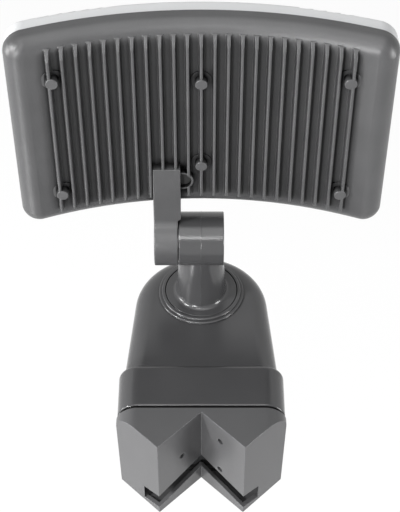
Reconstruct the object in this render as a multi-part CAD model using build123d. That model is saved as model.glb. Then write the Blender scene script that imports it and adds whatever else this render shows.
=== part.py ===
from build123d import *
import os
from math import acos, atan2, cos, degrees, pi, radians, sin, sqrt, tan

# Wall floodlight on a corner bracket, in millimetres: a curved head with a cast arm, a knuckle that
# tilts and swivels, an arch-ended driver housing, a collar and a bracket for the corner of a building.
# +Z is up, the wall is on the +Y side, and the light shines towards -Y.
# The origin is on the inner edge of the bracket's notch, level with the bracket's underside.

# Corner bracket
bracket_height = 73.0
bracket_width = 110.0
bracket_foot_width = 106.8
bracket_corner_radius = 14.0
bracket_wall = 2.8
bracket_front = 3.2
notch_depth = 27.4
cell_web = 1.4
slot_half_width = 37.4
slot_height = 12.8
slot_crown = 26.4
slot_slope = 16.0
wall_screw_radius = 2.25
wall_screw_inset = 12.0
wall_screw_heights_left = [42.3]
wall_screw_heights_right = [27.0, 57.6]
fixing_boss_radius = 3.6
fixing_boss_length = 9.0
fixing_low_inset = (9.4, 10.0)
fixing_high_inset = (15.0, 13.0)

# Screws in plastic and in the casting
screw_radius = 1.5
screw_head_radius = 2.9
screw_head_height = 1.9
screw_head_round = 0.85
screw_slot_width = 0.7
screw_slot_depth = 0.8
screw_slot_length = 3.8
screw_hole_play = 0.3
screw_thread_play = 0.04
screw_end_gap = 1.0

# Gasket between bracket and collar
base_gasket_thickness = 2.4
base_gasket_inset = 2.4
base_gasket_width = 4.0

# Collar
collar_inset = 0.6
collar_length = 33.6
collar_back = 3.0
collar_front_round = 3.5
collar_back_round = 1.2
lock_screw_reach = 3.0
fit_gap = 0.3

# Cable grommet in the collar's back
cable_radius = 4.0
grommet_neck_radius = 6.4
grommet_flange_radius = 8.0
grommet_flange = 1.4
grommet_round = 0.5
cable_x = 10.0
cable_z = 17.0

# Driver housing
housing_inset = 4.5
housing_wall = 2.5
housing_edge_round = 13.0
arch_inset = 4.7
arch_reach = 59.9
housing_taper = 5.0
skirt_inset = 3.2
skirt_round = 12.0
skirt_depth = 27.0
lid_thickness = 3.0
lid_edge_round = 1.5
lid_rim_height = 3.0
lid_rim_wall = 2.2
lid_gasket = 0.8
lid_gasket_width = 1.9
lid_gasket_inset = 0.5
lid_boss_radius = 3.5
lid_boss_height = 24.0
lid_boss_sink = 1.0
lid_screw_length = 12.0
lid_screw_side_inset = 7.0
lid_screw_rear_reach = 12.8
lid_screw_arch_angle = 44.0

# Swivel seat on the housing
swivel_reach = 66.4
seat_bead_width = 2.3
seat_bead_height = 3.0
seat_step_width = 2.1
seat_step_height = 1.5
seat_play = 0.4
seat_bead_round = 0.9
seat_depth = 0.9
seat_boss_margin = 1.0
seat_boss_drop = 5.0
spigot_radius = 11.0
spigot_wall = 2.5
running_gap = 0.05
spigot_length = 15.0

# Knuckle: flange, neck and barrel
flange_radius = 24.4
flange_thickness = 3.5
flange_round = 0.5
foot_radius = 19.4
neck_low = 16.9
neck_mid = 15.9
neck_high = 13.9
foot_height = 3.8
foot_curve_width = 0.75
foot_curve_height = 0.95
neck_top_drop = 6.0
neck_high_drop = 15.0
neck_mid_rise = 18.6
barrel_rise = 50.7
barrel_radius = 17.8
barrel_half = 14.8
barrel_edge_round = 0.6
mould_line_height = 0.12
mould_line_width = 0.5
neck_bore = 11.5
pocket_radius = 12.0
web_start = 9.0
disc_pocket = 1.45
end_cap_margin = 1.5
end_cap_thickness = 2.0
end_cap_round = 0.4
end_cap_plug = 2.5
end_cap_plug_wall = 1.5
press_gap = 0.1

# Swivel hardware
oring_radius = 17.0
oring_section = 1.0
oring_groove = 1.7
oring_gap = 0.02
wave_washer_radius = 16.0
wave_washer_thickness = 1.3
ring_nut_radius = 15.0
ring_nut_thickness = 5.0
ring_nut_notches = 8
ring_nut_notch_depth = 1.2
ring_nut_notch_width = 3.0
washer_play = 0.2

# Tilt hardware
axle_radius = 6.0
axle_bore = 3.5
axle_tip = 2.6
axle_flange_radius = 9.0
axle_flange = 2.5
axle_flange_round = 0.5
tilt_nut_flats = 16.0
tilt_nut_thickness = 4.8
spring_washer_thickness = 0.7
spring_washer_radius = 8.6
friction_disc_radius = 12.0

# Head casting
head_width = 228.0
head_height = 145.0
head_rise = 27.9
head_reach = 3.6
head_rear_radius = 280.0
shell_depth = 14.0
head_corner_radius = 11.0
head_corner_least = 2.0
head_edge_round = 9.6
head_side_land = 0.8
head_wall = 3.0
rim_pocket_depth = 5.0
floor_inset = 8.0
floor_cover = 4.7
facet_corner_in = 33.0
facet_side_inset = 11.0

# Ribs on the casting
rib_count_each_side = 11
rib_pitch = 8.0
rib_height = 4.9
rib_crest_half = 0.85
rib_flank_half = 1.05
rib_foot_half = 2.2
rib_foot_height = 1.3
rib_foot_sink = 0.04
rib_low_inset = 11.0
rib_high_inset = 6.5
rib_low_round = 2.0
rib_high_round = 12.0
rib_crest_crown = 0.35
rib_hollow_out = 0.35
rib_hollow_down = 0.35
rib_sink = 2.0

# Screw bosses and breather on the casting
boss_radius = 3.7
boss_height = 5.5
boss_pad_radius = 6.4
boss_pad_height = 0.5
boss_round = 0.5
boss_sink = 2.0
boss_side_inset = 27.4
boss_drop = 1.0
boss_outer_inset = 27.7
boss_centre_inset = 39.5
breather_x = 12.0
breather_rise = 25.2
breather_radius = 7.0
breather_bore = 5.9
breather_height = 4.0
breather_port = 2.5
breather_disc = 1.2

# Arm on the casting
arm_gap = 0.35
arm_thickness = 15.6
arm_root_rise = 37.5
arm_shoulder = 1.4
arm_stem_rise = 1.1
arm_stem_angle = 75.0
arm_stem_round = 6.0
arm_front_root_rise = 6.0
arm_front_root_depth = 9.4
arm_edge_round = 0.8
arm_flare = 1.6
arm_flare_rise = 2.5
arm_ledge = 1.9
arm_ledge_back = 6.0
arm_cheek = 4.0
arm_cavity_radius = 11.0
arm_cover_margin = 1.3
arm_cover_thickness = 1.8
arm_cover_round = 0.4
arm_head_overlap = 5.0
arm_round_top = 30.0
arm_channel_radius = 3.0

# Lens
lens_inset = 0.4
lens_rise = 9.2
lens_wall = 2.2
lens_edge_round = 1.6
lens_gap = 0.15
lip_wall = 1.9
lens_gasket = 1.0

# LED boards
board_thickness = 1.6
board_margin = 1.5
board_low_inset = 14.0
board_high_inset = 11.0
chip_size = 3.5
chip_height = 0.7
chip_columns = 3
chip_rows_between_screws = 3
board_screw_length = 6.0
connector_size = (11.0, 7.5, 9.0)
connector_rise = 0.5
connector_shift = 2.0

# Driver, terminal block and leads
driver_size = (66.0, 42.0, 27.0)
driver_reach = 31.8
driver_round = 2.0
driver_foot = 9.0
driver_foot_length = 13.5
driver_foot_height = 2.0
driver_post = 3.0
terminal_size = (34.0, 14.0, 18.0)
terminal_x = -20.0
terminal_z = 40.0
terminal_poles = 3
terminal_round = 1.0
terminal_hole_depth = 6.0
terminal_screw_radius = 1.9
terminal_screw_play = 0.2
terminal_screw_drop = 1.0
terminal_slot = (4.0, 0.6, 0.7)
lead_radius = 1.5
supply_radius = 2.5
lead_meet_x = 1.2
lead_meet_z = 46.0
lead_level = 24.0
lead_turn_x = -7.8
supply_bend = 6.5
driver_lead_bend = 9.0
knuckle_lead_rise = 26.0
knuckle_lead_drop = 22.0
knuckle_lead_bends = (20.0, 20.0, 8.0)
head_lead_bends = (3.0, 6.0, 2.0)
head_lead_lift = 3.0
channel_start = (-2.0, 6.0)
arm_lead_offset = 2.8
channel_exit_depth = 1.4
channel_exit_drop = 1.5

# Sizes that follow from the ones above
spare = 1.0
collar_rear_y = -(bracket_front + base_gasket_thickness)
collar_front_y = collar_rear_y - collar_length
collar_inner_y = collar_rear_y - collar_back
fixing_low = (bracket_foot_width / 2 - fixing_low_inset[0], fixing_low_inset[1])
fixing_high = (bracket_width / 2 - fixing_high_inset[0], bracket_height - fixing_high_inset[1])
housing_bottom = housing_inset
housing_top = bracket_height - housing_inset
skirt_half_width = bracket_foot_width / 2 - skirt_inset
arch_radius = skirt_half_width - arch_inset
arch_y = collar_front_y - arch_reach
swivel_y = collar_front_y - swivel_reach
driver_y = collar_front_y - driver_reach
lid_screw_rear = (skirt_half_width - lid_screw_side_inset, collar_front_y - lid_screw_rear_reach)
housing_rear_y = collar_front_y - fit_gap
skirt_rear_y = housing_rear_y + skirt_depth
lid_top = housing_bottom + lid_thickness
shell_bottom = lid_top + lid_gasket
seat_bead_lip = flange_radius + seat_play
seat_bead_radius = seat_bead_lip + seat_bead_width
seat_step_radius = seat_bead_radius + seat_step_width
seat_boss_radius = seat_step_radius + seat_boss_margin
seat_z = housing_top - seat_depth
flange_bottom = seat_z + fit_gap
flange_top = flange_bottom + flange_thickness
neck_mid_z = flange_top + neck_mid_rise
barrel_z = flange_top + barrel_rise
spigot_bore = spigot_radius - spigot_wall
end_cap_radius = pocket_radius + end_cap_margin
seat_boss_bottom = housing_top - housing_wall - seat_boss_drop
nut_top = seat_boss_bottom - fit_gap - wave_washer_thickness
tilt_y = swivel_y
head_rear_y = tilt_y - head_reach
head_bottom = barrel_z + head_rise
head_top = head_bottom + head_height
head_centre_y = head_rear_y + head_rear_radius
rim_radius = head_rear_radius + shell_depth
head_mid_z = (head_bottom + head_top) / 2
facet_corner_out = head_width / 2 - facet_side_inset
rib_low_end = head_bottom + rib_low_inset
rib_high_end = head_top - rib_high_inset
boss_x = head_width / 2 - boss_side_inset
boss_mid_z = head_mid_z - boss_drop
boss_rise_outer = head_height / 2 - boss_outer_inset
boss_rise_centre = head_height / 2 - boss_centre_inset
breather_z = head_bottom + breather_rise
arm_root_z = head_bottom + arm_root_rise
arm_front_root = (head_rear_y - arm_front_root_depth, head_bottom + arm_front_root_rise)
board_low = head_bottom + board_low_inset
board_high = head_top - board_high_inset
arm_in = barrel_half + arm_gap
arm_out = arm_in + arm_thickness
disc_seat_x = barrel_half - disc_pocket
cap_seat_x = end_cap_thickness - barrel_half
cavity_start = arm_in + arm_cheek
cover_start = arm_out - arm_cover_thickness
arm_cover_radius = arm_cavity_radius + arm_cover_margin
driver_base_z = lid_top + driver_post
driver_foot_top = driver_base_z + driver_foot_height
far = 2 * head_width
arm_lead_x = cavity_start + axle_flange + arm_lead_offset
channel_exit_y = head_rear_y - shell_depth / 2 - channel_exit_depth
channel_exit_z = board_low - channel_exit_drop

os.makedirs("parts", exist_ok=True)


# Basic shapes
def extrude_y(face, y_start, y_end):
    low = max(y_start, y_end)
    high = min(y_start, y_end)
    return extrude(Plane.XZ.offset(-low) * face, amount=low - high, dir=(0, -1, 0))


def extrude_x(face, x_start, x_end):
    return extrude(Plane.YZ.offset(x_start) * face, amount=x_end - x_start, dir=(1, 0, 0))


def extrude_z(face, z_start, z_end):
    return extrude(Plane.XY.offset(z_start) * face, amount=z_end - z_start, dir=(0, 0, 1))


def rod_x(radius, x_start, x_end, y, z):
    return extrude_x(Pos(y, z) * Circle(radius), x_start, x_end)


def rod_y(radius, y_start, y_end, x, z):
    return extrude_y(Pos(x, z) * Circle(radius), y_start, y_end)


def rod_z(radius, z_start, z_end, x, y):
    return extrude_z(Pos(x, y) * Circle(radius), z_start, z_end)


def polygon(points):
    return Polygon(*points, align=None)


def face_of(*edges):
    return make_face(Curve() + list(edges))


def spin_z(profile, y):
    return Pos(0, y, 0) * revolve(Plane.XZ * profile, Axis.Z)


def one_body(shape):
    solids = shape.solids().sort_by(SortBy.VOLUME)
    return solids[-1]


def save(node, shape):
    export_step(shape, f"parts/{node}.step")


# A pan-head screw: the underside of the head is at its place and the shank runs along the direction
def pan_screw(place, direction, length):
    below = (Align.CENTER, Align.CENTER, Align.MIN)
    above = (Align.CENTER, Align.CENTER, Align.MAX)
    shank = Cylinder(screw_radius - screw_thread_play, length, align=below)
    head = Cylinder(screw_head_radius, screw_head_height, align=above)
    head = fillet(head.edges().group_by(Axis.Z)[0], screw_head_round)
    top = Pos(0, 0, -screw_head_height)
    slot = top * Box(screw_slot_length, screw_slot_width, 2 * screw_slot_depth)
    cross = top * Box(screw_slot_width, screw_slot_length, 2 * screw_slot_depth)
    screw = shank + head - slot - cross
    return Plane(origin=place, z_dir=direction) * screw


# Outline of bracket and collar seen along Y, with rounded top corners and drafted sides
def bracket_section(inset):
    def half(z):
        foot = bracket_foot_width / 2
        return foot + (bracket_width / 2 - foot) * z / bracket_height - inset

    low, high = inset, bracket_height - inset
    outline = polygon([(-half(low), low), (half(low), low), (half(high), high), (-half(high), high)])
    return fillet(outline.vertices().sort_by(Axis.Y)[-2:], bracket_corner_radius - inset)


# Outline of the bracket seen from above: a square notch between two outer faces at 45 degrees
def bracket_plan(inset, front_y):
    reach = inset * sqrt(2)
    front_x = 2 * notch_depth - reach - front_y
    return polygon([
        (0, -reach), (notch_depth, notch_depth - reach), (front_x, front_y),
        (-front_x, front_y), (-notch_depth, notch_depth - reach),
    ])


# Hollow on one side of the notch, open towards the collar
def bracket_cell(side):
    reach = bracket_wall * sqrt(2)
    front_y = -bracket_front - spare
    front_x = 2 * notch_depth - reach - front_y
    plan = polygon([
        (side * cell_web, front_y), (side * cell_web, cell_web - reach),
        (side * notch_depth, notch_depth - reach), (side * front_x, front_y),
    ])
    hollow = extrude_y(bracket_section(bracket_wall), notch_depth, front_y)
    return extrude_z(plan, 0, bracket_height) & hollow


def fixing_points():
    return [(side * x, z) for side in (-1, 1) for x, z in (fixing_low, fixing_high)]


def wall_screw_points():
    left = [(1, z) for z in wall_screw_heights_left]
    right = [(-1, z) for z in wall_screw_heights_right]
    return [(side * wall_screw_inset, wall_screw_inset, z, side) for side, z in left + right]


def gable_slot():
    drop = tan(radians(slot_slope)) * slot_half_width
    return polygon([
        (0, slot_crown), (slot_half_width, slot_crown - drop),
        (slot_half_width, slot_crown - drop - slot_height), (0, slot_crown - slot_height),
        (-slot_half_width, slot_crown - drop - slot_height), (-slot_half_width, slot_crown - drop),
    ])


def make_corner_bracket():
    outer = extrude_z(bracket_plan(0, -bracket_front), 0, bracket_height)
    outer = outer & extrude_y(bracket_section(0), notch_depth, -bracket_front)
    body = outer - bracket_cell(1) - bracket_cell(-1)
    for x, z in fixing_points():
        post = rod_y(fixing_boss_radius, -bracket_front, notch_depth, x, z)
        body += post & outer
    body -= extrude_y(gable_slot(), notch_depth, -bracket_front)
    for x, z in fixing_points():
        body -= rod_y(screw_radius, -bracket_front, -bracket_front + fixing_boss_length, x, z)
    for x, y, z, side in wall_screw_points():
        plane = Plane(origin=(x, y, z), z_dir=(side, -1, 0))
        body -= extrude(plane * Circle(wall_screw_radius), amount=bracket_wall + spare, both=True)
    return one_body(body)


def make_base_gasket():
    ring = bracket_section(base_gasket_inset) - bracket_section(base_gasket_inset + base_gasket_width)
    return extrude_y(ring, -bracket_front, collar_rear_y)


# Part of the housing that slides into the collar
def skirt_section(inset):
    half = skirt_half_width - inset
    low, high = housing_bottom + inset, housing_top - inset
    outline = polygon([(-half, low), (half, low), (half, high), (-half, high)])
    return fillet(outline.vertices().sort_by(Axis.Y)[-2:], skirt_round - inset)


def collar_screw_points():
    y = (collar_front_y + skirt_rear_y) / 2
    return [(side * skirt_half_width / 2, y) for side in (-1, 1)]


def make_collar():
    outer = extrude_y(bracket_section(collar_inset), collar_rear_y, collar_front_y)
    ends = outer.faces().sort_by(Axis.Y)
    outer = fillet(ends[0].edges(), collar_front_round)
    outer = fillet(outer.faces().sort_by(Axis.Y)[-1].edges(), collar_back_round)
    body = outer - extrude_y(skirt_section(-fit_gap), collar_inner_y, collar_front_y)
    for x, z in fixing_points():
        body -= rod_y(screw_radius + screw_hole_play, collar_rear_y, collar_inner_y, x, z)
    body -= rod_y(grommet_neck_radius, collar_rear_y, collar_inner_y, cable_x, cable_z)
    for x, y in collar_screw_points():
        body -= rod_z(screw_radius + screw_hole_play, 0, housing_bottom, x, y)
        body -= rod_z(screw_head_radius + screw_hole_play, 0, collar_inset + screw_head_height, x, y)
    return body


def make_collar_fixing_screws():
    length = collar_back + base_gasket_thickness + fixing_boss_length - screw_end_gap
    return Compound([pan_screw((x, collar_inner_y, z), (0, 1, 0), length) for x, z in fixing_points()])


def make_collar_lock_screws():
    start = collar_inset + screw_head_height
    length = housing_bottom + housing_wall + lock_screw_reach - start
    return Compound([pan_screw((x, y, start), (0, 0, 1), length) for x, y in collar_screw_points()])


def make_cable_grommet():
    rear = rod_y(grommet_flange_radius, collar_rear_y + grommet_flange, collar_rear_y, cable_x, cable_z)
    neck = rod_y(grommet_neck_radius, collar_rear_y, collar_inner_y, cable_x, cable_z)
    front = rod_y(grommet_flange_radius, collar_inner_y, collar_inner_y - grommet_flange, cable_x, cable_z)
    body = rear + neck + front
    circles = body.edges().filter_by(GeomType.CIRCLE)
    rims = circles.filter_by(lambda edge: edge.radius > grommet_neck_radius + spare / 2).group_by(Axis.Y)
    body = fillet(rims[0] + rims[-1], grommet_round)
    hole_end = grommet_flange + spare
    return body - rod_y(cable_radius, collar_rear_y + hole_end, collar_inner_y - hole_end, cable_x, cable_z)


# Outline of the housing seen from above: an arch with tangent sides that widen towards the wall
def housing_plan(inset, rear_y):
    angle = radians(housing_taper)
    radius = arch_radius - inset
    side_x, side_y = radius * cos(angle), arch_y - radius * sin(angle)
    rear_x = side_x + (rear_y - side_y) * tan(angle)
    return face_of(
        Line((-rear_x, rear_y), (-side_x, side_y)),
        ThreePointArc((-side_x, side_y), (0, arch_y - radius), (side_x, side_y)),
        Line((side_x, side_y), (rear_x, rear_y)),
        Line((rear_x, rear_y), (-rear_x, rear_y)),
    )


# The housing's arch block with a rounded top edge, inset on all its walls
def housing_block(inset, low, rear_y):
    run_out = housing_edge_round
    block = extrude_z(housing_plan(inset, rear_y + run_out), low, housing_top - inset)
    top_edges = block.edges().group_by(Axis.Z)[-1].sort_by(Axis.Y)[:-1]
    block = fillet(top_edges, housing_edge_round - inset)
    return block - Pos(0, rear_y + run_out, 0) * Box(2 * far, 2 * run_out, 2 * far)


def lid_screw_points():
    angle = radians(lid_screw_arch_angle)
    reach = arch_radius - housing_wall - lid_boss_sink - lid_boss_radius / 2
    front = (reach * sin(angle), arch_y - reach * cos(angle))
    return [(side * x, y) for side in (-1, 1) for x, y in (lid_screw_rear, front)]


def make_housing():
    joint_y = housing_rear_y - housing_wall
    shell = housing_block(0, shell_bottom, housing_rear_y)
    skirt = extrude_y(skirt_section(0), skirt_rear_y, joint_y)
    body = shell + skirt
    body -= housing_block(housing_wall, housing_bottom - spare, joint_y)
    body -= extrude_y(skirt_section(housing_wall), skirt_rear_y, joint_y - spare)
    body += rod_z(seat_boss_radius, seat_boss_bottom, housing_top - spare, 0, swivel_y)
    for radius, height in ((seat_step_radius, seat_step_height), (seat_bead_radius, seat_bead_height)):
        step = rod_z(radius, housing_top - spare, housing_top + height, 0, swivel_y)
        body += fillet(step.edges().group_by(Axis.Z)[-1], seat_bead_round)
    open_top = housing_top + seat_bead_height + spare
    body -= rod_z(seat_bead_lip, seat_z, open_top, 0, swivel_y)
    body -= rod_z(spigot_radius + running_gap, 0, open_top, 0, swivel_y)
    inner = housing_block(lid_boss_sink, shell_bottom, housing_rear_y)
    for x, y in lid_screw_points():
        post = rod_z(lid_boss_radius, shell_bottom, shell_bottom + lid_boss_height, x, y)
        body += post & inner
        body -= rod_z(screw_radius, shell_bottom, shell_bottom + lid_screw_length, x, y)
    for x, y in collar_screw_points():
        body -= rod_z(screw_radius, housing_bottom, housing_bottom + housing_wall + spare, x, y)
    return one_body(body)


def make_housing_lid():
    rear_y = housing_rear_y - housing_wall - fit_gap
    plate = extrude_z(housing_plan(0, rear_y), housing_bottom, lid_top)
    plate = fillet(plate.edges().group_by(Axis.Z)[0], lid_edge_round)
    rim_out = housing_wall + fit_gap
    rim_in = rim_out + lid_rim_wall
    rim_top = lid_top + lid_rim_height
    plate += extrude_z(housing_plan(rim_out, rear_y - rim_out), lid_top - spare, rim_top)
    plate -= extrude_z(housing_plan(rim_in, rear_y - rim_in), lid_top, rim_top)
    for x, y in lid_screw_points():
        plate -= rod_z(lid_boss_radius + fit_gap, lid_top, rim_top, x, y)
        plate -= rod_z(screw_radius + screw_hole_play, housing_bottom, lid_top, x, y)
        head_top = housing_bottom + screw_head_height
        plate -= rod_z(screw_head_radius + screw_hole_play, housing_bottom, head_top, x, y)
    for x, y in driver_screw_points():
        plate += rod_z(lid_boss_radius, lid_top - spare, driver_base_z, x, y)
        plate -= rod_z(screw_radius, lid_top - spare, driver_base_z, x, y)
    return one_body(plate)


def make_lid_gasket():
    rear_y = housing_rear_y - housing_wall - fit_gap
    inner_edge = lid_gasket_inset + lid_gasket_width
    outer = extrude_z(housing_plan(lid_gasket_inset, rear_y - lid_gasket_inset), lid_top, shell_bottom)
    return outer - extrude_z(housing_plan(inner_edge, rear_y - inner_edge), lid_top, shell_bottom)


def make_lid_screws():
    start = housing_bottom + screw_head_height
    length = shell_bottom + lid_screw_length - screw_end_gap - start
    return Compound([pan_screw((x, y, start), (0, 0, 1), length) for x, y in lid_screw_points()])


# Driver and wiring in the housing
def driver_screw_points():
    reach = driver_size[0] / 2 + driver_foot / 2
    return [(side * reach, driver_y) for side in (-1, 1)]


def make_led_driver():
    long, deep, high = driver_size
    can = Pos(0, driver_y, driver_base_z + high / 2) * Box(long, deep, high)
    can = fillet(can.edges().filter_by(Axis.Z) + can.edges().group_by(Axis.Z)[-1], driver_round)
    foot_z = driver_base_z + driver_foot_height / 2
    for x, y in driver_screw_points():
        side = 1 if x > 0 else -1
        tab_x = x - side * driver_foot / 4
        can += Pos(tab_x, y, foot_z) * Box(driver_foot_length, driver_foot, driver_foot_height)
        can -= rod_z(screw_radius + screw_hole_play, driver_base_z, driver_foot_top, x, y)
    return can


def make_driver_screws():
    length = driver_foot_height + driver_post - screw_end_gap / 2
    points = driver_screw_points()
    return Compound([pan_screw((x, y, driver_foot_top), (0, 0, -1), length) for x, y in points])


def terminal_screw_points():
    pitch = terminal_size[0] / terminal_poles
    columns = [terminal_x + (i - (terminal_poles - 1) / 2) * pitch for i in range(terminal_poles)]
    rows = [terminal_z - terminal_size[2] / 4, terminal_z + terminal_size[2] / 4]
    return [(x, z) for x in columns for z in rows]


def make_terminal_block():
    long, deep, high = terminal_size
    y = collar_inner_y - deep / 2
    block = Pos(terminal_x, y, terminal_z) * Box(long, deep, high)
    block = fillet(block.edges().group_by(Axis.Y)[0], terminal_round)
    front = collar_inner_y - deep
    for x, z in terminal_screw_points():
        block -= rod_y(terminal_screw_radius + terminal_screw_play, front + terminal_hole_depth, front, x, z)
    return block


def make_terminal_screws():
    front = collar_inner_y - terminal_size[1]
    top = front + terminal_screw_drop
    wide, deep, high = terminal_slot
    screws = []
    for x, z in terminal_screw_points():
        screw = rod_y(terminal_screw_radius, front + terminal_hole_depth, top, x, z)
        screws.append(screw - Pos(x, top, z) * Box(wide, 2 * deep, high))
    return Compound(screws)


def tube(points, bends, radius):
    path = FilletPolyline(*points, radius=bends)
    start = Plane(origin=points[0], z_dir=Vector(*points[1]) - Vector(*points[0]))
    return sweep(start * Circle(radius), path=path)


def make_supply_lead():
    start_y = collar_inner_y - terminal_size[1]
    end_y = driver_y + driver_size[1] / 2
    mid_y = (start_y + end_y) / 2
    low = driver_base_z + driver_size[2] / 2
    route = [(start_y, terminal_z), (mid_y, terminal_z), (mid_y, low), (end_y, low)]
    return tube([(terminal_x, y, z) for y, z in route], supply_bend, supply_radius)


def make_driver_lead():
    start_y = driver_y - driver_size[1] / 2
    route = [(start_y, lead_level), (swivel_y, lead_level), (swivel_y, lead_meet_z)]
    return tube([(0, y, z) for y, z in route], driver_lead_bend, lead_radius)


# Knuckle with its flange, neck, barrel and spigot
def neck_profile(swell):
    base = flange_top - spare
    top = barrel_z - neck_top_drop
    foot = (foot_radius + swell, flange_top)
    curve = (neck_low + swell + foot_curve_width, flange_top + foot_curve_height)
    low = (neck_low + swell, flange_top + foot_height)
    middle = (neck_mid + swell, neck_mid_z)
    high = (neck_high + swell, barrel_z - neck_high_drop)
    end = (neck_high + swell - spare, top)
    return face_of(
        Line((0, base), (foot[0], base)),
        Line((foot[0], base), foot),
        ThreePointArc(foot, curve, low),
        ThreePointArc(low, middle, high),
        Line(high, end),
        Line(end, (0, top)),
        Line((0, top), (0, base)),
    )


def make_knuckle():
    flange = rod_z(flange_radius, flange_bottom, flange_top, 0, swivel_y)
    flange = fillet(flange.edges().group_by(Axis.Z)[-1], flange_round)
    neck = spin_z(neck_profile(0), swivel_y)
    barrel = rod_x(barrel_radius, -barrel_half, barrel_half, tilt_y, barrel_z)
    barrel = fillet(barrel.edges().filter_by(GeomType.CIRCLE), barrel_edge_round)
    spigot = rod_z(spigot_radius, flange_bottom - spigot_length, flange_bottom + spare, 0, swivel_y)
    seam_height = barrel_z - flange_top
    seam_box = Box(mould_line_width, 3 * barrel_radius, seam_height)
    seam_box = Pos(0, swivel_y, flange_top + seam_height / 2) * seam_box
    seam = spin_z(neck_profile(mould_line_height), swivel_y) & seam_box
    seam_radius = barrel_radius + mould_line_height
    seam += rod_x(seam_radius, -mould_line_width / 2, mould_line_width / 2, tilt_y, barrel_z)
    body = flange + neck + barrel + spigot + seam
    body -= rod_z(neck_bore, flange_top, barrel_z, 0, swivel_y)
    body -= rod_z(spigot_bore, 0, barrel_z, 0, swivel_y)
    body -= rod_x(pocket_radius, -barrel_half, web_start, tilt_y, barrel_z)
    body -= rod_x(end_cap_radius + press_gap, -barrel_half, cap_seat_x, tilt_y, barrel_z)
    body -= rod_x(axle_radius + running_gap, 0, barrel_half + spare, tilt_y, barrel_z)
    body -= rod_x(friction_disc_radius + press_gap, disc_seat_x, barrel_half + spare, tilt_y, barrel_z)
    groove_in, groove_out = oring_radius - oring_section, oring_radius + oring_section
    return one_body(body - ring_z(groove_out, groove_in, flange_bottom, flange_bottom + oring_groove))


def make_knuckle_end_cap():
    cap = rod_x(end_cap_radius, -barrel_half, cap_seat_x, tilt_y, barrel_z)
    cap = fillet(cap.edges().group_by(Axis.X)[0], end_cap_round)
    plug_radius = pocket_radius - press_gap
    plug = rod_x(plug_radius, cap_seat_x, cap_seat_x + end_cap_plug, tilt_y, barrel_z)
    return cap + plug - rod_x(plug_radius - end_cap_plug_wall, cap_seat_x, 0, tilt_y, barrel_z)


def make_swivel_oring():
    centre_z = flange_bottom + oring_groove - oring_section
    return spin_z(Pos(oring_radius, centre_z) * Circle(oring_section - oring_gap), swivel_y)


def ring_z(outer, inner, z_start, z_end):
    return rod_z(outer, z_start, z_end, 0, swivel_y) - rod_z(inner, z_start, z_end, 0, swivel_y)


def make_wave_washer():
    return ring_z(wave_washer_radius, spigot_radius + washer_play, nut_top, nut_top + wave_washer_thickness)


def make_ring_nut():
    nut = ring_z(ring_nut_radius, spigot_radius, nut_top - ring_nut_thickness, nut_top)
    notch = Box(2 * ring_nut_notch_depth, ring_nut_notch_width, ring_nut_thickness)
    notch = Pos(ring_nut_radius, 0, nut_top - ring_nut_thickness / 2) * notch
    for i in range(ring_nut_notches):
        nut -= Pos(0, swivel_y, 0) * Rot(0, 0, 360 * i / ring_nut_notches) * notch
    return nut


def make_friction_disc():
    disc = rod_x(friction_disc_radius, disc_seat_x, barrel_half, tilt_y, barrel_z)
    return disc - rod_x(axle_radius + running_gap, disc_seat_x, barrel_half, tilt_y, barrel_z)


def make_knuckle_lead():
    route = [
        (0, lead_meet_z), (0, lead_meet_z + knuckle_lead_rise), (lead_turn_x, barrel_z - knuckle_lead_drop),
        (lead_turn_x, barrel_z), (lead_meet_x, barrel_z),
    ]
    return tube([(x, swivel_y, z) for x, z in route], knuckle_lead_bends, lead_radius)


# Tilt axle, nut and spring washer, which turn with the head
def make_tilt_axle():
    shank = rod_x(axle_radius, axle_tip, cavity_start, tilt_y, barrel_z)
    collar = rod_x(axle_flange_radius, cavity_start, cavity_start + axle_flange, tilt_y, barrel_z)
    collar = fillet(collar.edges().group_by(Axis.X)[-1], axle_flange_round)
    return shank + collar - rod_x(axle_bore, 0, arm_out, tilt_y, barrel_z)


def make_tilt_nut():
    end = web_start - fit_gap - spring_washer_thickness
    start = end - tilt_nut_thickness
    hexagon = Pos(tilt_y, barrel_z) * RegularPolygon(tilt_nut_flats / 2, 6, major_radius=False)
    return extrude_x(hexagon, start, end) - rod_x(axle_radius, start, end, tilt_y, barrel_z)


def make_spring_washer():
    end = web_start - fit_gap
    start = end - spring_washer_thickness
    washer = rod_x(spring_washer_radius, start, end, tilt_y, barrel_z)
    return washer - rod_x(axle_radius + washer_play, start, end, tilt_y, barrel_z)


# Head: blocks between two arcs about one centre, with the rounded front outline
def arc_y(radius, x):
    return head_centre_y - sqrt(radius * radius - x * x)


def head_outline(inset):
    return Pos(0, head_mid_z) * RectangleRounded(
        head_width - 2 * inset, head_height - 2 * inset, max(head_corner_radius - inset, head_corner_least))


# A block between two arcs about the head's centre line
def arc_block(back_radius, front_radius):
    half = head_width / 2
    back = arc_y(back_radius, half)
    front = arc_y(front_radius, half)
    plan = face_of(
        ThreePointArc((-half, back), (0, arc_y(back_radius, 0)), (half, back)),
        Line((half, back), (half, front)),
        ThreePointArc((half, front), (0, arc_y(front_radius, 0)), (-half, front)),
        Line((-half, front), (-half, back)),
    )
    return extrude_z(plan, head_bottom, head_top)


def head_block(inset, back_radius, front_radius):
    return arc_block(back_radius, front_radius) & extrude_y(head_outline(inset), 0, -far)


# The round of the casting's rear edges, held back so that a strip of its side wall stays flat
def rear_edge_round():
    half = head_width / 2
    wall_start = head_centre_y - arc_y(head_rear_radius, half)
    wall_end = head_centre_y - arc_y(rim_radius, half) - head_side_land
    return min(head_edge_round, (wall_end ** 2 - wall_start ** 2) / (2 * (head_rear_radius + half)))


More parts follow.
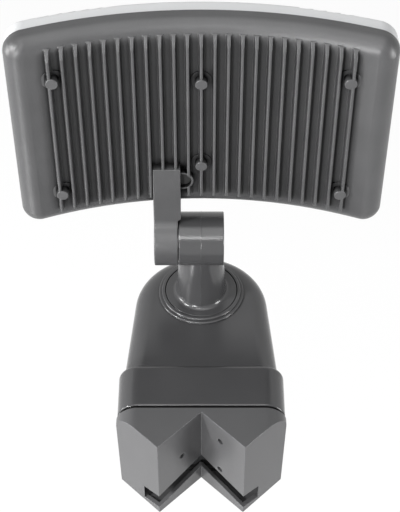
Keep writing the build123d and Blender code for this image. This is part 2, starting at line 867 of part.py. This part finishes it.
# The casting's plain shell: its corners are rounded first, then its rear edges
def make_shell():
    block = arc_block(head_rear_radius, rim_radius)
    block = fillet(block.edges().filter_by(Axis.Y), head_corner_radius)
    rear_face = block.faces().sort_by(SortBy.AREA)[-2:].sort_by(Axis.Y)[-1]
    return fillet(rear_face.edges(), rear_edge_round())


def facet_points():
    floor_radius = head_rear_radius + floor_cover
    corners = (-facet_corner_out, -facet_corner_in, facet_corner_in, facet_corner_out)
    return [(x, arc_y(floor_radius, x)) for x in corners]


def floor_pocket():
    plan = polygon(facet_points() + [(facet_corner_out, -far), (-facet_corner_out, -far)])
    block = extrude_z(plan, head_bottom, head_top)
    return block & extrude_y(head_outline(floor_inset), 0, -far)


def rib_section(x):
    base = arc_y(head_rear_radius, x)
    crest = base + rib_height
    shoulder = crest - rib_crest_crown
    flank = base + rib_foot_height
    left_foot = (x - rib_foot_half, arc_y(head_rear_radius, x - rib_foot_half) - rib_foot_sink)
    right_foot = (x + rib_foot_half, arc_y(head_rear_radius, x + rib_foot_half) - rib_foot_sink)
    left_mid = (x - rib_flank_half - rib_hollow_out, (left_foot[1] + flank) / 2 - rib_hollow_down)
    right_mid = (x + rib_flank_half + rib_hollow_out, (right_foot[1] + flank) / 2 - rib_hollow_down)
    sunk = base - rib_sink
    return face_of(
        Line((x - rib_foot_half, sunk), left_foot),
        ThreePointArc(left_foot, left_mid, (x - rib_flank_half, flank)),
        Line((x - rib_flank_half, flank), (x - rib_crest_half, shoulder)),
        ThreePointArc((x - rib_crest_half, shoulder), (x, crest), (x + rib_crest_half, shoulder)),
        Line((x + rib_crest_half, shoulder), (x + rib_flank_half, flank)),
        ThreePointArc((x + rib_flank_half, flank), right_mid, right_foot),
        Line(right_foot, (x + rib_foot_half, sunk)),
        Line((x + rib_foot_half, sunk), (x - rib_foot_half, sunk)),
    )


# A rib's side view: its ends curve down to the casting, the upper one over a longer stretch
def rib_side(x):
    base = arc_y(head_rear_radius, x)
    sunk = base - rib_sink - spare
    crest = base + rib_height + spare / 10
    half = sqrt(0.5)
    low, high = rib_low_end, rib_high_end
    low_curve = (base + rib_height * half, low + rib_low_round * (1 - half))
    high_curve = (base + rib_height * half, high - rib_high_round * (1 - half))
    return face_of(
        Line((sunk, low), (base, low)),
        ThreePointArc((base, low), low_curve, (crest, low + rib_low_round)),
        Line((crest, low + rib_low_round), (crest, high - rib_high_round)),
        ThreePointArc((crest, high - rib_high_round), high_curve, (base, high)),
        Line((base, high), (sunk, high)),
        Line((sunk, high), (sunk, low)),
    )


def make_rib(x):
    bar = extrude_z(rib_section(x), rib_low_end - spare, rib_high_end + spare)
    return bar & extrude_x(rib_side(x), x - rib_foot_half - spare, x + rib_foot_half + spare)


def boss_points():
    rises = (-boss_rise_outer, boss_rise_outer)
    outer = [(side * boss_x, boss_mid_z + rise) for side in (-1, 1) for rise in rises]
    centre = [(0, boss_mid_z + rise) for rise in (-boss_rise_centre, boss_rise_centre)]
    return outer + centre


def make_boss(x, z):
    base = arc_y(head_rear_radius, x)
    post = rod_y(boss_radius, base - boss_sink, base + boss_height, x, z)
    post = fillet(post.edges().group_by(Axis.Y)[-1], boss_round)
    pad = rod_y(boss_pad_radius, base - boss_sink, base + boss_sink, x, z)
    return post + (pad & head_block(0, head_rear_radius - boss_pad_height, head_rear_radius + spare))


# The arm seen along X: a disc about the tilt axis, and a straight stem with a shoulder at the ribs
def arm_outline():
    def on_disc(angle):
        return tilt_y + barrel_radius * cos(angle), barrel_z + barrel_radius * sin(angle)

    dy, dz = arm_front_root[0] - tilt_y, arm_front_root[1] - barrel_z
    front = on_disc(atan2(dz, dy) + acos(barrel_radius / sqrt(dy * dy + dz * dz)))
    junction = on_disc(radians(arm_stem_angle))
    shoulder = (head_rear_y + rib_height + arm_stem_rise, arm_root_z - arm_shoulder)
    rear_root = (head_rear_y - arm_head_overlap, arm_root_z + arm_shoulder)
    outline = face_of(
        Line(rear_root, shoulder),
        Line(shoulder, junction),
        ThreePointArc(junction, on_disc(-pi / 2), front),
        Line(front, arm_front_root),
        Line(arm_front_root, (rear_root[0], arm_front_root[1])),
        Line((rear_root[0], arm_front_root[1]), rear_root),
    )
    corner = outline.vertices().sort_by_distance((junction[0], junction[1], 0))[0]
    return fillet(corner, arm_stem_round)


# The arm's inner side above the barrel: it widens towards the head, with a ledge along its front
def make_arm_flare():
    inner = arm_in + arm_edge_round
    ledge_x = arm_in - arm_ledge
    low, high = barrel_z + barrel_radius + arm_flare_rise, arm_root_z
    flare = polygon([(inner, low), (inner, high), (arm_in - arm_flare, high), (arm_in, low)])
    ledge = polygon([(inner, low), (inner, high), (ledge_x, high), (ledge_x, low + arm_ledge)])
    side = extrude_y(flare, 0, -far) + extrude_y(ledge, tilt_y + arm_ledge_back, -far)
    return side & extrude_x(arm_outline(), ledge_x - spare, inner)


def channel_line():
    back, rise = channel_start
    start = Vector(arm_lead_x, tilt_y + back, barrel_z + rise)
    return start, Vector(arm_lead_x, channel_exit_y, channel_exit_z)


def make_rear_casting():
    ribs = [make_rib(i * rib_pitch) for i in range(-rib_count_each_side, rib_count_each_side + 1)]
    body = make_shell() + ribs + [make_boss(x, z) for x, z in boss_points()]
    breather_base = arc_y(head_rear_radius, breather_x)
    breather_top = breather_base + breather_height
    body += rod_y(breather_radius, breather_base - boss_sink, breather_top, breather_x, breather_z)
    body -= rod_y(breather_bore, breather_base, breather_top + rib_height, breather_x, breather_z)
    arm = extrude_x(arm_outline(), arm_in, arm_out)
    side_edges = arm.faces().sort_by(Axis.X)[0].edges() + arm.faces().sort_by(Axis.X)[-1].edges()
    free_edges = side_edges.filter_by(lambda edge: edge.center().Z < head_bottom + arm_round_top)
    body += fillet(free_edges, arm_edge_round)
    body += make_arm_flare()
    body -= head_block(head_wall, rim_radius - rim_pocket_depth, rim_radius + spare)
    body -= floor_pocket()
    body -= rod_y(breather_port, breather_base + spare, -far, breather_x, breather_z)
    body -= rod_x(axle_radius, arm_in, cavity_start, tilt_y, barrel_z)
    body -= rod_x(arm_cavity_radius, cavity_start, arm_out, tilt_y, barrel_z)
    body -= rod_x(arm_cover_radius + press_gap, cover_start, arm_out, tilt_y, barrel_z)
    start, end = channel_line()
    run = end - start
    direction = run.normalized()
    mouth = Plane(origin=start - direction * arm_channel_radius, z_dir=direction)
    body -= extrude(mouth * Circle(arm_channel_radius), amount=run.length + 2 * arm_channel_radius)
    for place, normal in board_screw_places():
        drill = Plane(origin=place, z_dir=normal) * Circle(screw_radius)
        body -= extrude(drill, amount=board_thickness - board_screw_length - screw_end_gap / 2)
    return one_body(body)


def make_arm_cover():
    cover = rod_x(arm_cover_radius, cover_start, arm_out, tilt_y, barrel_z)
    return fillet(cover.edges().group_by(Axis.X)[-1], arm_cover_round)


def make_breather_disc():
    base = arc_y(head_rear_radius, breather_x)
    disc = rod_y(breather_bore - press_gap, base, base + breather_disc, breather_x, breather_z)
    return disc - extrude_x(arm_outline(), arm_in - arm_ledge - press_gap, arm_out)


# LED boards lie on the flat facets of the casting's floor
def facet_frames():
    points = facet_points()
    frames = []
    for (x0, y0), (x1, y1) in zip(points, points[1:]):
        length = sqrt((x1 - x0) ** 2 + (y1 - y0) ** 2)
        turn = degrees(atan2(y1 - y0, x1 - x0))
        frames.append((((x0 + x1) / 2, (y0 + y1) / 2), turn, length))
    return frames


def board_screw_places():
    places = []
    for (x, y), turn, _ in facet_frames():
        normal = Vector(sin(radians(turn)), -cos(radians(turn)), 0)
        along = Vector(cos(radians(turn)), sin(radians(turn)), 0)
        if abs(x) < facet_corner_in:
            shift, rise = 0, boss_rise_centre
        else:
            side = 1 if x > 0 else -1
            shift, rise = (boss_x - abs(x)) / cos(radians(turn)) * side, boss_rise_outer
        for z in (boss_mid_z - rise, boss_mid_z + rise):
            places.append((Vector(x, y, z) + along * shift, normal))
    return places


def facet_place(index, z):
    (x, y), turn, _ = facet_frames()[index]
    return Location((x, y, z), (0, 0, turn))


def make_board(index):
    (x, y), turn, length = facet_frames()[index]
    height = board_high - board_low
    on_floor = (Align.CENTER, Align.MAX, Align.CENTER)
    board = Box(length - 2 * board_margin, board_thickness, height, align=on_floor)
    board = facet_place(index, (board_high + board_low) / 2) * board
    for place, normal in board_screw_places():
        drill = Plane(origin=place, z_dir=normal) * Circle(screw_radius + screw_hole_play)
        board -= extrude(drill, amount=board_thickness * 2)
    return board


# Rows of chips between a board's two screws, and one row halfway from each screw to the board's end
def chip_heights(index):
    low, high = sorted(place.Z for place, _ in board_screw_places()[2 * index:2 * index + 2])
    pitch = (high - low) / (chip_rows_between_screws + 1)
    between = [low + pitch * (row + 1) for row in range(chip_rows_between_screws)]
    return [(board_low + low) / 2] + between + [(high + board_high) / 2]


def make_chips(index):
    _, _, length = facet_frames()[index]
    chip = Box(chip_size, chip_height, chip_size, align=(Align.CENTER, Align.MAX, Align.CENTER))
    chips = []
    for column in range(chip_columns):
        along = (column - (chip_columns - 1) / 2) * length / chip_columns
        for z in chip_heights(index):
            chips.append(facet_place(index, z) * Pos(along, -board_thickness, 0) * chip)
    return Compound(chips)


def make_board_screws():
    screws = []
    for place, normal in board_screw_places():
        screws.append(pan_screw(place + normal * board_thickness, normal * -1, board_screw_length))
    return Compound(screws)


def make_board_connector():
    front = arc_y(head_rear_radius + floor_cover, facet_corner_in) - board_thickness
    wide, deep, high = connector_size
    bottom = board_low + connector_rise
    return Pos(arm_lead_x - connector_shift, front - deep / 2, bottom + high / 2) * Box(wide, deep, high)


def make_head_lead():
    start, end = channel_line()
    lifted = start + Vector(0, 0, head_lead_lift)
    points = [
        (lead_meet_x, tilt_y, barrel_z), (arm_lead_x, tilt_y, barrel_z), tuple(lifted), tuple(end),
        (arm_lead_x, channel_exit_y, board_low + connector_rise),
    ]
    return tube(points, head_lead_bends, lead_radius)


def make_lens():
    front = rim_radius + lens_rise
    cap = head_block(lens_inset, rim_radius + lens_gap, front)
    front_edges = cap.faces().sort_by(SortBy.AREA)[-2:].sort_by(Axis.Y)[0].edges()
    cap = fillet(front_edges, lens_edge_round)
    lip = head_block(head_wall + fit_gap, rim_radius - rim_pocket_depth + lens_gasket, rim_radius + spare)
    mouth = head_block(head_wall + fit_gap + lip_wall, head_rear_radius, rim_radius + lens_wall)
    hollow = head_block(lens_inset + lens_wall, rim_radius + lens_gap + lens_wall, front - lens_wall)
    return one_body(cap + lip - mouth - hollow)


def make_lens_gasket():
    back = rim_radius - rim_pocket_depth
    outer = head_block(head_wall + fit_gap, back, back + lens_gasket)
    return outer - head_block(head_wall + fit_gap + lip_wall, back - spare, back + lens_gasket + spare)


if __name__ == "__main__":
    save("corner_bracket", make_corner_bracket())
    save("base_gasket", make_base_gasket())
    save("collar", make_collar())
    save("collar_fixing_screws", make_collar_fixing_screws())
    save("collar_lock_screws", make_collar_lock_screws())
    save("cable_grommet", make_cable_grommet())
    save("housing", make_housing())
    save("housing_lid", make_housing_lid())
    save("lid_gasket", make_lid_gasket())
    save("lid_screws", make_lid_screws())
    save("led_driver", make_led_driver())
    save("driver_screws", make_driver_screws())
    save("terminal_block", make_terminal_block())
    save("terminal_screws", make_terminal_screws())
    save("supply_lead", make_supply_lead())
    save("driver_lead", make_driver_lead())
    save("knuckle", make_knuckle())
    save("knuckle_end_cap", make_knuckle_end_cap())
    save("swivel_oring", make_swivel_oring())
    save("wave_washer", make_wave_washer())
    save("ring_nut", make_ring_nut())
    save("friction_disc", make_friction_disc())
    save("knuckle_lead", make_knuckle_lead())
    save("tilt_axle", make_tilt_axle())
    save("tilt_nut", make_tilt_nut())
    save("spring_washer", make_spring_washer())
    save("rear_casting", make_rear_casting())
    save("arm_cover", make_arm_cover())
    save("breather_disc", make_breather_disc())
    for index, side in enumerate(("left", "centre", "right")):
        save(f"led_board_{side}", make_board(index))
        save(f"led_chips_{side}", make_chips(index))
    save("board_screws", make_board_screws())
    save("board_connector", make_board_connector())
    save("head_lead", make_head_lead())
    save("diffuser_lens", make_lens())
    save("lens_gasket", make_lens_gasket())
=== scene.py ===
from math import radians

import bpy
from mathutils import Matrix, Vector

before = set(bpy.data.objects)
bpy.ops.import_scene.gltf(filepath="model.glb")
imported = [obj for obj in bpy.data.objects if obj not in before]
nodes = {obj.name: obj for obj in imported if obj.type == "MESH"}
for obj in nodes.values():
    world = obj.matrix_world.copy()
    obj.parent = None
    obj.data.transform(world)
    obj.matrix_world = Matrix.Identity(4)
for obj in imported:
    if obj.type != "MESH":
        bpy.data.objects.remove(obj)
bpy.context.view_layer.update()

# Camera that matches the photograph's view from behind and above: place and reach in metres, angles in
# degrees, lens in millimetres, shift as a share of the picture
CAMERA_PLACE = (0.0, 0.5326, 0.7875)
CAMERA_TURN = 180
CAMERA_DOWN = 46.92
CAMERA_LENS = 98.13
CAMERA_SHIFT = -0.0025
CAMERA_REACH = 30

# Floor below the light, in metres. The glow is the share that is plain white where the floor is seen, and
# the rest takes the lamps' light and the light's shadow.
FLOOR_DROP = 0.45
FLOOR_SIZE = 12.0
FLOOR_COLOUR = (235, 235, 235)
FLOOR_ROUGHNESS = 0.9
FLOOR_GLOW = 0.92

# Strength of the white world where it is seen, and where it only lights the scene
WORLD_SEEN = 1.0
WORLD_AMBIENT = 0.1

# Softboxes: name, place and size in metres, power in watts
LIGHT_TARGET = (0, -0.05, 0.12)
SOFTBOXES = [
    ("left_key", (1.0, 1.9, 0.55), (0.3, 0.3), 36),
    ("left_side", (1.7, 0.1, 0.25), (0.5, 0.7), 22),
    ("left_high", (1.4, 0.7, 1.1), (0.3, 0.3), 36),
    ("right_side", (-1.6, 0.6, 0.15), (0.5, 0.7), 22),
    ("overhead", (0.0, 0.08, 1.5), (1.0, 1.5), 9),
    ("camera_side", (0.12, 0.9, 1.25), (0.3, 0.12), 4.0),
    ("low_left", (0.42, 0.33, -0.36), (0.08, 0.3), 1.2),
]

# Surface effects: noise scales per metre, heights and radii in metres
EDGE_SAMPLES = 6
EDGE_RADIUS = 0.0004
GRAIN_HEIGHT = 0.0002
GRAIN_DETAIL = 2.0
GRAIN_ROUGHNESS = 0.6
CLOUD_SCALE = 45.0
CLOUD_DETAIL = 3.0
SPECKLE_SHARE = 0.6
CLOUD_SHARE = 0.4

# Painted edge highlight: how far the rounded normal agrees with the true one where there is no painted
# highlight, and where it is full
HIGHLIGHT_NONE = 1.0
HIGHLIGHT_FULL = 0.86
HIGHLIGHT_NOISE_SCALE = 260.0
HIGHLIGHT_NOISE_DETAIL = 4.0

# Painted groove shade: how open a spot is where the painted shade is full, and where there is none
GROOVE_SAMPLES = 8
GROOVE_SHUT = 0.3
GROOVE_OPEN = 0.85
# Near-black colour of the painted shade in grooves
PAINTED_SHADE_COLOUR = (8, 8, 8)
OPEN_GLOSS = 0.5

FLOAT = "NodeSocketFloat"
VECTOR = "NodeSocketVector"


# Colours are written as they show on a screen, from 0 to 255, and this takes off the sRGB curve
def screen_colour(red, green, blue):
    def channel(value):
        value = value / 255
        return value / 12.92 if value <= 0.04045 else ((value + 0.055) / 1.055) ** 2.4
    return channel(red), channel(green), channel(blue), 1.0


# Shader node helpers
def add_node(tree, kind, inputs=None, **settings):
    node = tree.nodes.new(kind)
    for name, value in settings.items():
        setattr(node, name, value)
    for name, value in (inputs or {}).items():
        node.inputs[name].default_value = value
    return node


def new_group(name, inputs, outputs):
    group = bpy.data.node_groups.new(name, "ShaderNodeTree")
    for label in inputs:
        group.interface.new_socket(label, in_out="INPUT", socket_type=FLOAT)
    for label, kind in outputs.items():
        group.interface.new_socket(label, in_out="OUTPUT", socket_type=kind)
    return group, add_node(group, "NodeGroupInput"), add_node(group, "NodeGroupOutput")


# Mask that is 1 for camera, glossy and transmission rays, and 0 for those that only carry light
def add_seen_mask(tree):
    path = add_node(tree, "ShaderNodeLightPath")
    seen = path.outputs["Is Camera Ray"]
    for label in ("Is Glossy Ray", "Is Transmission Ray"):
        either = add_node(tree, "ShaderNodeMath", operation="ADD", use_clamp=True)
        tree.links.new(seen, either.inputs[0])
        tree.links.new(path.outputs[label], either.inputs[1])
        seen = either.outputs["Value"]
    return seen


# Fine grain over rounded edges: gives a normal, a speckle mask and a slow cloud mask
def make_grain_group():
    group, source, sink = new_group(
        "surface grain", ["Grain Scale", "Grain Depth", "Edge Radius"],
        {"Normal": VECTOR, "Speckle": FLOAT, "Cloud": FLOAT})
    link = group.links.new
    place = add_node(group, "ShaderNodeTexCoord")
    fine = add_node(group, "ShaderNodeTexNoise", {"Detail": GRAIN_DETAIL, "Roughness": GRAIN_ROUGHNESS})
    cloud = add_node(group, "ShaderNodeTexNoise", {"Scale": CLOUD_SCALE, "Detail": CLOUD_DETAIL})
    edge = add_node(group, "ShaderNodeBevel", samples=EDGE_SAMPLES)
    bump = add_node(group, "ShaderNodeBump", {"Distance": GRAIN_HEIGHT})
    link(place.outputs["Object"], fine.inputs["Vector"])
    link(place.outputs["Object"], cloud.inputs["Vector"])
    link(source.outputs["Grain Scale"], fine.inputs["Scale"])
    link(source.outputs["Grain Depth"], bump.inputs["Strength"])
    link(source.outputs["Edge Radius"], edge.inputs["Radius"])
    link(fine.outputs["Fac"], bump.inputs["Height"])
    link(edge.outputs["Normal"], bump.inputs["Normal"])
    link(bump.outputs["Normal"], sink.inputs["Normal"])
    link(fine.outputs["Fac"], sink.inputs["Speckle"])
    link(cloud.outputs["Fac"], sink.inputs["Cloud"])
    return group


# Painted highlight mask that is highest on sharp edges, broken up by noise
def make_edge_highlight_group():
    group, source, sink = new_group("painted edge highlight", ["Radius", "Amount"], {"Mask": FLOAT})
    link = group.links.new
    place = add_node(group, "ShaderNodeTexCoord")
    edge = add_node(group, "ShaderNodeBevel", samples=EDGE_SAMPLES)
    surface = add_node(group, "ShaderNodeNewGeometry")
    agree = add_node(group, "ShaderNodeVectorMath", operation="DOT_PRODUCT")
    edge_mask = add_node(group, "ShaderNodeMapRange", {"From Min": HIGHLIGHT_NONE, "From Max": HIGHLIGHT_FULL})
    breaks = add_node(group, "ShaderNodeTexNoise", {"Scale": HIGHLIGHT_NOISE_SCALE, "Detail": HIGHLIGHT_NOISE_DETAIL})
    broken = add_node(group, "ShaderNodeMath", operation="MULTIPLY")
    total = add_node(group, "ShaderNodeMath", operation="MULTIPLY", use_clamp=True)
    link(place.outputs["Object"], breaks.inputs["Vector"])
    link(source.outputs["Radius"], edge.inputs["Radius"])
    link(edge.outputs["Normal"], agree.inputs[0])
    link(surface.outputs["Normal"], agree.inputs[1])
    link(agree.outputs["Value"], edge_mask.inputs["Value"])
    link(edge_mask.outputs["Result"], broken.inputs[0])
    link(breaks.outputs["Fac"], broken.inputs[1])
    link(broken.outputs["Value"], total.inputs[0])
    link(source.outputs["Amount"], total.inputs[1])
    link(total.outputs["Value"], sink.inputs["Mask"])
    return group


# Painted shade mask, from ambient occlusion, that falls from 1 in the open to 0 in narrow grooves
def make_painted_shade_group():
    group, source, sink = new_group("painted groove shade", ["Reach"], {"Mask": FLOAT})
    link = group.links.new
    cover = add_node(group, "ShaderNodeAmbientOcclusion", samples=GROOVE_SAMPLES)
    opened = add_node(group, "ShaderNodeMapRange", {"From Min": GROOVE_SHUT, "From Max": GROOVE_OPEN})
    link(source.outputs["Reach"], cover.inputs["Distance"])
    link(cover.outputs["AO"], opened.inputs["Value"])
    link(opened.outputs["Result"], sink.inputs["Mask"])
    return group


GRAIN = make_grain_group()
EDGE_HIGHLIGHT = make_edge_highlight_group()
PAINTED_GROOVE_SHADE = make_painted_shade_group()


# A finish: two near screen colours and a roughness that vary with the grain. A painted edge highlight
# lightens the edges towards its given colour, groove_reach sets a painted groove shade that darkens and
# dulls grooves, and plain values go to the shader's own sockets.
def make_finish(name, dark, light, rough, rough_spread, grain_scale, grain_depth, edge_radius=EDGE_RADIUS,
                edge_highlight=None, highlight_colour=None, groove_reach=None, **plain):
    finish = bpy.data.materials.new(name)
    finish.use_nodes = True
    tree = finish.node_tree
    link = tree.links.new
    shader = tree.nodes["Principled BSDF"]
    for label, value in plain.items():
        shader.inputs[label.replace("_", " ")].default_value = value

    grain = add_node(tree, "ShaderNodeGroup", node_tree=GRAIN)
    grain.inputs["Grain Scale"].default_value = grain_scale
    grain.inputs["Grain Depth"].default_value = grain_depth
    grain.inputs["Edge Radius"].default_value = edge_radius
    cloud = add_node(tree, "ShaderNodeMath", {1: CLOUD_SHARE}, operation="MULTIPLY")
    mixed = add_node(tree, "ShaderNodeMath", {1: SPECKLE_SHARE}, operation="MULTIPLY_ADD", use_clamp=True)
    blend = add_node(tree, "ShaderNodeMix", {"A": screen_colour(*dark), "B": screen_colour(*light)},
                     data_type="RGBA")
    roughness = add_node(tree, "ShaderNodeMapRange",
                         {"To Min": rough - rough_spread, "To Max": rough + rough_spread})
    link(grain.outputs["Cloud"], cloud.inputs[0])
    link(grain.outputs["Speckle"], mixed.inputs[0])
    link(cloud.outputs["Value"], mixed.inputs[2])
    link(mixed.outputs["Value"], blend.inputs["Factor"])
    link(mixed.outputs["Value"], roughness.inputs["Value"])
    link(roughness.outputs["Result"], shader.inputs["Roughness"])
    link(grain.outputs["Normal"], shader.inputs["Normal"])
    colour = blend.outputs["Result"]

    # Painted highlight: lightens sharp edges towards the highlight colour, broken up by noise
    if edge_highlight:
        highlighted = add_node(tree, "ShaderNodeGroup", node_tree=EDGE_HIGHLIGHT)
        highlighted.inputs["Radius"].default_value = edge_radius
        highlighted.inputs["Amount"].default_value = edge_highlight
        lift = add_node(tree, "ShaderNodeMix", {"B": screen_colour(*highlight_colour)}, data_type="RGBA")
        link(highlighted.outputs["Mask"], lift.inputs["Factor"])
        link(colour, lift.inputs["A"])
        colour = lift.outputs["Result"]

    # Painted shade: darkens narrow grooves towards near-black and lowers their specular level
    if groove_reach:
        shade = add_node(tree, "ShaderNodeGroup", node_tree=PAINTED_GROOVE_SHADE)
        shade.inputs["Reach"].default_value = groove_reach
        deep = add_node(tree, "ShaderNodeMix", {"A": screen_colour(*PAINTED_SHADE_COLOUR)}, data_type="RGBA")
        gloss = add_node(tree, "ShaderNodeMath", {1: OPEN_GLOSS}, operation="MULTIPLY")
        link(shade.outputs["Mask"], deep.inputs["Factor"])
        link(colour, deep.inputs["B"])
        link(shade.outputs["Mask"], gloss.inputs[0])
        link(gloss.outputs["Value"], shader.inputs["Specular IOR Level"])
        colour = deep.outputs["Result"]

    link(colour, shader.inputs["Base Color"])
    return finish


# Finishes of the light's own pieces
# The casting, moulded plastic and bracket plastic get painted edge highlights; the casting and moulded
# plastic also get painted groove shade
casting_coat = make_finish(
    "black powder coat on cast aluminium", (44, 44, 45), (78, 78, 79), rough=0.32, rough_spread=0.07,
    grain_scale=2600.0, grain_depth=0.55, edge_radius=0.0005, edge_highlight=0.5, highlight_colour=(140, 140, 142),
    groove_reach=0.007)
housing_plastic = make_finish(
    "black moulded plastic", (53, 53, 54), (63, 63, 64), rough=0.19, rough_spread=0.04,
    grain_scale=3400.0, grain_depth=0.16, edge_radius=0.0005, edge_highlight=0.35, highlight_colour=(120, 121, 124),
    groove_reach=0.004)
bracket_plastic = make_finish(
    "black bracket plastic", (68, 68, 69), (80, 80, 81), rough=0.32, rough_spread=0.05,
    grain_scale=3000.0, grain_depth=0.2, edge_radius=0.0006, edge_highlight=0.5, highlight_colour=(150, 151, 154),
    Specular_IOR_Level=0.35)
seal_rubber = make_finish(
    "black seal rubber", (22, 22, 22), (34, 34, 34), rough=0.72, rough_spread=0.08,
    grain_scale=1500.0, grain_depth=0.4)
screw_steel = make_finish(
    "stainless steel", (150, 150, 152), (176, 176, 178), rough=0.32, rough_spread=0.1,
    grain_scale=4000.0, grain_depth=0.1, Metallic=1.0)
turned_aluminium = make_finish(
    "turned aluminium", (190, 190, 194), (210, 210, 214), rough=0.3, rough_spread=0.08,
    grain_scale=2500.0, grain_depth=0.15, Metallic=1.0)
lens_plastic = make_finish(
    "frosted lens plastic", (198, 199, 200), (206, 207, 208), rough=0.3, rough_spread=0.04,
    grain_scale=900.0, grain_depth=0.05, Transmission_Weight=0.15, IOR=1.49)
board_mask = make_finish(
    "white solder mask", (226, 226, 220), (236, 236, 232), rough=0.4, rough_spread=0.05,
    grain_scale=1200.0, grain_depth=0.1)
chip_phosphor = make_finish(
    "yellow phosphor", (226, 200, 84), (236, 214, 104), rough=0.45, rough_spread=0.05,
    grain_scale=3000.0, grain_depth=0.1)
white_plastic = make_finish(
    "white moulded plastic", (214, 214, 208), (224, 224, 220), rough=0.4, rough_spread=0.05,
    grain_scale=2200.0, grain_depth=0.12)
lead_sleeve = make_finish(
    "black lead sleeve", (24, 24, 25), (36, 36, 37), rough=0.5, rough_spread=0.06,
    grain_scale=1800.0, grain_depth=0.2)
screw_brass = make_finish(
    "plain brass", (190, 156, 82), (206, 172, 98), rough=0.3, rough_spread=0.08,
    grain_scale=3000.0, grain_depth=0.1, Metallic=1.0)
vent_membrane = make_finish(
    "dark vent membrane", (30, 30, 30), (42, 42, 42), rough=0.8, rough_spread=0.08,
    grain_scale=2000.0, grain_depth=0.5)

NODE_FINISHES = {
    casting_coat: ["rear_casting"],
    housing_plastic: ["knuckle", "knuckle_end_cap", "housing", "housing_lid", "collar", "arm_cover"],
    bracket_plastic: ["corner_bracket"],
    seal_rubber: ["base_gasket", "cable_grommet", "lid_gasket", "swivel_oring", "lens_gasket"],
    screw_steel: ["collar_fixing_screws", "collar_lock_screws", "lid_screws", "driver_screws", "wave_washer",
                  "tilt_axle", "tilt_nut", "spring_washer", "board_screws"],
    turned_aluminium: ["led_driver", "ring_nut"],
    lens_plastic: ["diffuser_lens"],
    board_mask: ["led_board_left", "led_board_centre", "led_board_right"],
    chip_phosphor: ["led_chips_left", "led_chips_centre", "led_chips_right"],
    white_plastic: ["terminal_block", "board_connector", "friction_disc"],
    lead_sleeve: ["supply_lead", "driver_lead", "knuckle_lead", "head_lead"],
    screw_brass: ["terminal_screws"],
    vent_membrane: ["breather_disc"],
}

for finish, names in NODE_FINISHES.items():
    for name in names:
        piece = nodes[name]
        piece.data.materials.clear()
        piece.data.materials.append(finish)


def make_floor():
    bpy.ops.mesh.primitive_plane_add(size=FLOOR_SIZE, location=(0, 0, -FLOOR_DROP))
    floor = bpy.context.object
    floor.name = "studio_floor"
    material = bpy.data.materials.new("pale studio floor")
    material.use_nodes = True
    tree = material.node_tree
    link = tree.links.new
    shader = tree.nodes["Principled BSDF"]
    shader.inputs["Base Color"].default_value = screen_colour(*FLOOR_COLOUR)
    shader.inputs["Roughness"].default_value = FLOOR_ROUGHNESS
    glow = add_node(tree, "ShaderNodeEmission", {"Strength": 1.0})
    share = add_node(tree, "ShaderNodeMath", {1: FLOOR_GLOW}, operation="MULTIPLY")
    mix = add_node(tree, "ShaderNodeMixShader")
    link(add_seen_mask(tree), share.inputs[0])
    link(share.outputs["Value"], mix.inputs["Fac"])
    link(shader.outputs["BSDF"], mix.inputs[1])
    link(glow.outputs["Emission"], mix.inputs[2])
    link(mix.outputs["Shader"], tree.nodes["Material Output"].inputs["Surface"])
    floor.data.materials.append(material)


def make_world():
    world = bpy.data.worlds.new("studio")
    bpy.context.scene.world = world
    world.use_nodes = True
    tree = world.node_tree
    link = tree.links.new
    background = tree.nodes["Background"]
    background.inputs["Color"].default_value = (1, 1, 1, 1)
    level = add_node(tree, "ShaderNodeMapRange", {"To Min": WORLD_AMBIENT, "To Max": WORLD_SEEN})
    link(add_seen_mask(tree), level.inputs["Value"])
    link(level.outputs["Result"], background.inputs["Strength"])


def add_softbox(name, place, size, power):
    light = bpy.data.lights.new(name, "AREA")
    light.shape = "RECTANGLE"
    light.size, light.size_y = size
    light.energy = power
    lamp = bpy.data.objects.new(name, light)
    bpy.context.scene.collection.objects.link(lamp)
    lamp.location = place
    direction = Vector(LIGHT_TARGET) - Vector(place)
    lamp.rotation_euler = direction.to_track_quat("-Z", "Y").to_euler()


def add_camera():
    camera = bpy.data.cameras.new("photo_camera")
    camera.lens = CAMERA_LENS
    camera.shift_x = CAMERA_SHIFT
    camera.clip_end = CAMERA_REACH
    holder = bpy.data.objects.new("photo_camera", camera)
    bpy.context.scene.collection.objects.link(holder)
    turn = Matrix.Rotation(radians(CAMERA_TURN), 4, "Z") @ Matrix.Rotation(radians(90 - CAMERA_DOWN), 4, "X")
    holder.matrix_world = Matrix.Translation(CAMERA_PLACE) @ turn
    bpy.context.scene.camera = holder


make_floor()
make_world()
for name, place, size, power in SOFTBOXES:
    add_softbox(name, place, size, power)
add_camera()
bpy.context.scene.view_settings.view_transform = "Standard"
